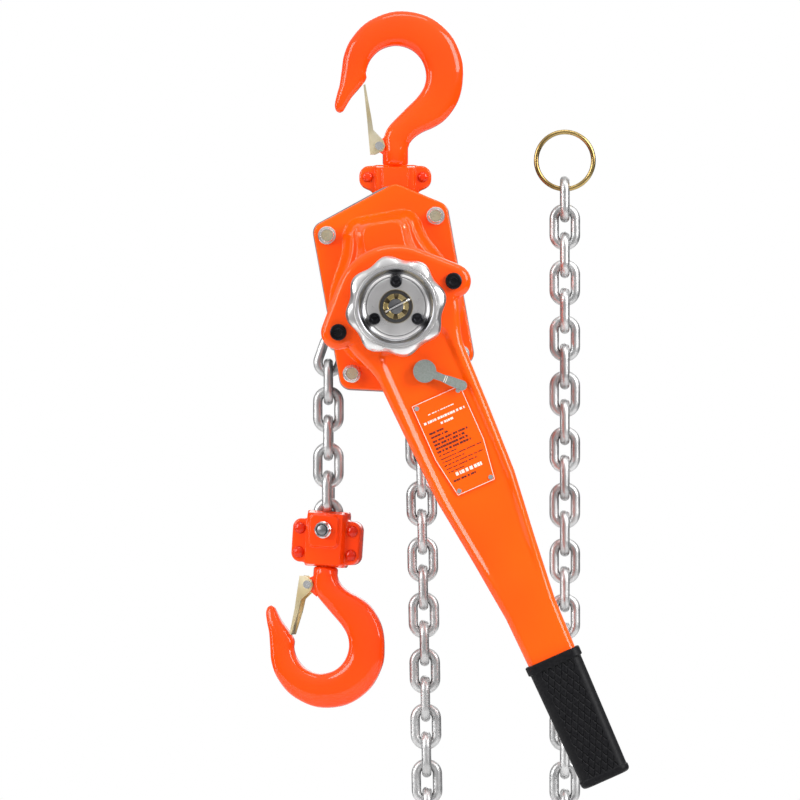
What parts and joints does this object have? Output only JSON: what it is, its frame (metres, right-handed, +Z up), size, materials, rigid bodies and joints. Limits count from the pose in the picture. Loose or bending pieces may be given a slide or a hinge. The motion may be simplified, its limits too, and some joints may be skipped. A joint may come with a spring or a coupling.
{
  "type": "lever chain hoist",
  "caption": "Ratchet lever chain hoist with swivel top and bottom hooks, safety latches, load chain, slack loop with ring, pivoting lever, selector and hand wheel.",
  "frame": {"origin": "centre of the top hook's bowl, where the hoist hangs", "axes": "X to the right seen from the hand wheel, Y towards the gear case, Z up; the main axis, lever axis and hook bowls run along Y"},
  "size_m": [0.2723, 0.164, 0.7127],
  "materials": {
    "orange_enamel": "gloss",
    "hook_enamel": "gloss",
    "chain_steel": "bright zinc",
    "bright_steel": "satin",
    "yellow_zinc": "satin",
    "black_steel": "satin",
    "hard_steel": "ground",
    "friction_lining": "matte",
    "grip_rubber": "matte",
    "plate_grey": "satin",
    "label_face": "satin"
  },
  "bodies": {
    "top_hook": {"top_hook": "hook_enamel", "top_hook_collar": "hard_steel", "top_latch_pin": "yellow_zinc", "top_latch_spring": "bright_steel"},
    "top_latch": {"top_latch": "yellow_zinc"},
    "top_yoke": {"top_yoke_front": "orange_enamel", "top_yoke_rear": "orange_enamel", "top_yoke_rivets": "orange_enamel"},
    "hoist_frame": {"top_pin": "hard_steel", "front_side_plate": "plate_grey", "rear_side_plate": "plate_grey", "stay_bolts": "black_steel", "front_stay_nuts": "yellow_zinc", "rear_stay_nuts": "yellow_zinc", "chain_guide_sleeves": "hard_steel", "chain_stripper": "hard_steel", "brake_cover": "orange_enamel", "gear_case": "orange_enamel", "front_bearing": "bright_steel", "rear_bearing": "bright_steel", "ratchet_disc": "hard_steel", "pawl_pins": "hard_steel", "pawl_springs": "bright_steel", "inner_chain": "chain_steel", "slack_chain": "chain_steel"},
    "load_sheave": {"load_sheave": "hard_steel", "load_gear": "hard_steel"},
    "upper_idler_gear": {"upper_idler_gear": "hard_steel"},
    "lower_idler_gear": {"lower_idler_gear": "hard_steel"},
    "drive_shaft": {"drive_shaft": "hard_steel", "disc_hub": "hard_steel", "friction_discs": "friction_lining", "change_gear": "hard_steel", "castle_nut": "yellow_zinc", "cotter_pin": "bright_steel"},
    "handwheel": {"handwheel": "bright_steel", "handwheel_screws": "black_steel", "handwheel_spring": "bright_steel"},
    "left_pawl": {"left_pawl": "hard_steel"},
    "right_pawl": {"right_pawl": "hard_steel"},
    "lever": {"lever_front_shell": "orange_enamel", "lever_rear_shell": "orange_enamel", "lever_bolts": "black_steel", "lever_grip": "grip_rubber", "name_plate": "label_face", "name_plate_rivets": "bright_steel"},
    "selector": {"selector_lever": "bright_steel", "selector_pawl": "hard_steel"},
    "load_chain": {"load_chain": "chain_steel"},
    "bottom_yoke": {"bottom_yoke_front": "orange_enamel", "bottom_yoke_rear": "orange_enamel", "bottom_yoke_rivets": "orange_enamel", "chain_pin": "chain_steel"},
    "bottom_hook": {"bottom_hook": "hook_enamel", "bottom_hook_collar": "hard_steel", "bottom_latch_pin": "yellow_zinc", "bottom_latch_spring": "bright_steel"},
    "bottom_latch": {"bottom_latch": "yellow_zinc"},
    "end_ring": {"end_ring": "yellow_zinc"}
  },
  "joints": [
    {"name": "hook_swivel", "type": "hinge", "parent": "top_hook", "child": "top_yoke", "pos_m": [-0.0005, 0, -0.07], "axis": [0, 0, 1], "continuous": true},
    {"name": "top_latch_hinge", "type": "hinge", "parent": "top_hook", "child": "top_latch", "pos_m": [-0.0125, 0, -0.0525], "axis": [0, 1, 0], "range_deg": [0, 32], "stiffness_Nm_per_rad": 0.02, "springref_deg": -28.65, "deforming": ["top_latch_spring"]},
    {"name": "frame_swing", "type": "hinge", "parent": "top_yoke", "child": "hoist_frame", "pos_m": [-0.0005, 0, -0.095], "axis": [0, 1, 0], "range_deg": [-18, 18]},
    {"name": "drive_shaft_turn", "type": "hinge", "parent": "hoist_frame", "child": "drive_shaft", "pos_m": [0, 0, -0.1736], "axis": [0, 1, 0], "continuous": true},
    {"name": "sheave_turn", "type": "hinge", "parent": "hoist_frame", "child": "load_sheave", "pos_m": [0, 0, -0.1736], "axis": [0, 1, 0], "continuous": true},
    {"name": "upper_idler_turn", "type": "hinge", "parent": "hoist_frame", "child": "upper_idler_gear", "pos_m": [-0.00558, 0, -0.1426], "axis": [0, 1, 0], "continuous": true},
    {"name": "lower_idler_turn", "type": "hinge", "parent": "hoist_frame", "child": "lower_idler_gear", "pos_m": [0.00558, 0, -0.2046], "axis": [0, 1, 0], "continuous": true},
    {"name": "handwheel_pull", "type": "slide", "parent": "drive_shaft", "child": "handwheel", "axis": [0, -1, 0], "range_m": [0, 0.0032], "stiffness_N_per_m": 800, "springref_m": -0.003},
    {"name": "left_pawl_hinge", "type": "hinge", "parent": "hoist_frame", "child": "left_pawl", "pos_m": [-0.03304, 0, -0.14608], "axis": [0, 1, 0], "range_deg": [0, 6.5], "stiffness_Nm_per_rad": 0.02, "springref_deg": -28.65},
    {"name": "right_pawl_hinge", "type": "hinge", "parent": "hoist_frame", "child": "right_pawl", "pos_m": [0.03304, 0, -0.20112], "axis": [0, 1, 0], "range_deg": [0, 6.5], "stiffness_Nm_per_rad": 0.02, "springref_deg": -28.65},
    {"name": "lever_swing", "type": "hinge", "parent": "hoist_frame", "child": "lever", "pos_m": [0, 0, -0.1736], "axis": [0, 1, 0], "continuous": true},
    {"name": "selector_turn", "type": "hinge", "parent": "lever", "child": "selector", "pos_m": [0.02135, 0, -0.22156], "axis": [0, 1, 0], "range_deg": [0, 90]},
    {"name": "load_chain_swing", "type": "hinge", "parent": "hoist_frame", "child": "load_chain", "pos_m": [-0.0507, 0, -0.2434], "axis": [0, 1, 0], "range_deg": [-2, 30]},
    {"name": "bottom_yoke_tilt", "type": "hinge", "parent": "load_chain", "child": "bottom_yoke", "pos_m": [-0.0507, 0, -0.3402], "axis": [0.2419, 0.9703, 0], "range_deg": [-6, 16]},
    {"name": "bottom_hook_swivel", "type": "hinge", "parent": "bottom_yoke", "child": "bottom_hook", "pos_m": [-0.0523, 0.0004, -0.36495], "axis": [0.0643, -0.016, 0.9978], "continuous": true},
    {"name": "bottom_latch_hinge", "type": "hinge", "parent": "bottom_hook", "child": "bottom_latch", "pos_m": [-0.06461, 0.00347, -0.38126], "axis": [-0.2419, -0.9703, 0], "range_deg": [0, 32], "stiffness_Nm_per_rad": 0.02, "springref_deg": -28.65, "deforming": ["bottom_latch_spring"]},
    {"name": "ring_swing", "type": "hinge", "parent": "hoist_frame", "child": "end_ring", "pos_m": [0.1266, 0, -0.0783], "axis": [0, 1, 0], "range_deg": [-35, 35]}
  ],
  "couplings": [
    {"joint": "upper_idler_turn", "follows": "drive_shaft_turn", "ratio": -0.4},
    {"joint": "lower_idler_turn", "follows": "drive_shaft_turn", "ratio": -0.4},
    {"joint": "sheave_turn", "follows": "drive_shaft_turn", "ratio": 0.16}
  ]
}
